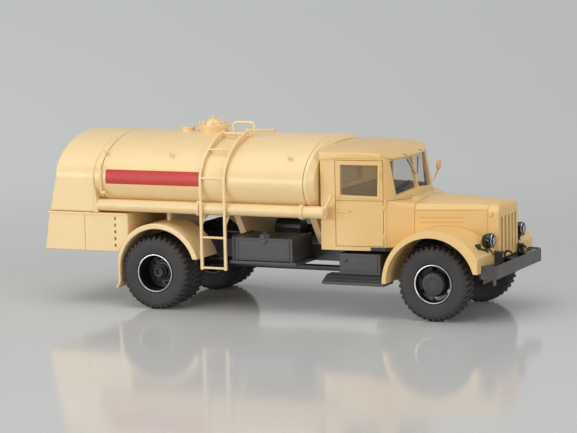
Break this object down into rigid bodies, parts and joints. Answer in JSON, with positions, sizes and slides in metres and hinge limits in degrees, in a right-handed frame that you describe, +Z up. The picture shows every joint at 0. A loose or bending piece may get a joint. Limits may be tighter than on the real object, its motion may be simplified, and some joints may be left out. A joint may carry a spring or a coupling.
{
  "type": "scale model of a bonneted tanker truck",
  "caption": "Die-cast scale model of a bonneted fuel tanker truck: elliptical tank, pump cabinet, ladder, hose tubes and wheels that roll.",
  "frame": {"origin": "on the ground under the middle of the model's overall length and width", "axes": "+X forward, +Y to the model's left, +Z up; the wheel axles run along Y"},
  "size_m": [0.174, 0.0622, 0.0676],
  "materials": {
    "tank_paint": "satin beige paint",
    "cab_paint": "satin deeper beige paint",
    "chassis_black": "satin black",
    "cabin_black": "matte black",
    "tyre_rubber": "matte",
    "wheel_black": "semi-gloss black",
    "clear_glass": "clear",
    "bright_trim": "bright silver",
    "lamp_red": "gloss red"
  },
  "bodies": {
    "root": {"air_reservoir": "chassis_black", "bonnet": "cab_paint", "cab_floor": "cabin_black", "cab_glass": "clear_glass", "cab_roof": "cab_paint", "cab_shell": "cab_paint", "chassis_frame": "chassis_black", "dashboard": "cabin_black", "door_handles": "cab_paint", "door_hinges": "cab_paint", "filler_stub": "tank_paint", "front_axle": "chassis_black", "front_bumper": "chassis_black", "front_fender_left": "cab_paint", "front_fender_right": "cab_paint", "front_springs": "chassis_black", "fuel_boxes": "chassis_black", "grille_shell": "cab_paint", "handrail": "tank_paint", "headlamp_bowls": "chassis_black", "headlamp_lenses": "clear_glass", "hose_tubes": "tank_paint", "ladder": "tank_paint", "lower_cabinet": "tank_paint", "manhole_lid": "tank_paint", "manhole_neck": "tank_paint", "mirror": "cab_paint", "powertrain": "chassis_black", "propshaft": "chassis_black", "radiator_core": "chassis_black", "rear_axle": "chassis_black", "rear_housing": "tank_paint", "rear_mudguard_left": "tank_paint", "rear_mudguard_right": "tank_paint", "rear_springs": "chassis_black", "seat": "cabin_black", "side_lamps": "chassis_black", "steering_wheel": "cabin_black", "step_boxes": "chassis_black", "tail_lamps": "lamp_red", "tank_cradles": "tank_paint", "tank_lugs": "tank_paint", "tank_shell": "tank_paint", "tow_hooks": "chassis_black", "tube_caps": "tank_paint", "tube_clamps": "tank_paint", "wipers": "bright_trim"},
    "wheel_front_right": {"rim_front_right": "wheel_black", "tyre_front_right": "tyre_rubber"},
    "wheel_front_left": {"rim_front_left": "wheel_black", "tyre_front_left": "tyre_rubber"},
    "wheel_rear_right": {"rims_rear_right": "wheel_black", "tyres_rear_right": "tyre_rubber"},
    "wheel_rear_left": {"rims_rear_left": "wheel_black", "tyres_rear_left": "tyre_rubber"}
  },
  "joints": [
    {"name": "roll_front_right", "type": "hinge", "parent": "root", "child": "wheel_front_right", "pos_m": [0.0635, -0.0222, 0.0131], "axis": [0, 1, 0], "continuous": true},
    {"name": "roll_front_left", "type": "hinge", "parent": "root", "child": "wheel_front_left", "pos_m": [0.0635, 0.0222, 0.0131], "axis": [0, 1, 0], "continuous": true},
    {"name": "roll_rear_right", "type": "hinge", "parent": "root", "child": "wheel_rear_right", "pos_m": [-0.0416, -0.02307, 0.0131], "axis": [0, 1, 0], "continuous": true},
    {"name": "roll_rear_left", "type": "hinge", "parent": "root", "child": "wheel_rear_left", "pos_m": [-0.0416, 0.02307, 0.0131], "axis": [0, 1, 0], "continuous": true}
  ]
}
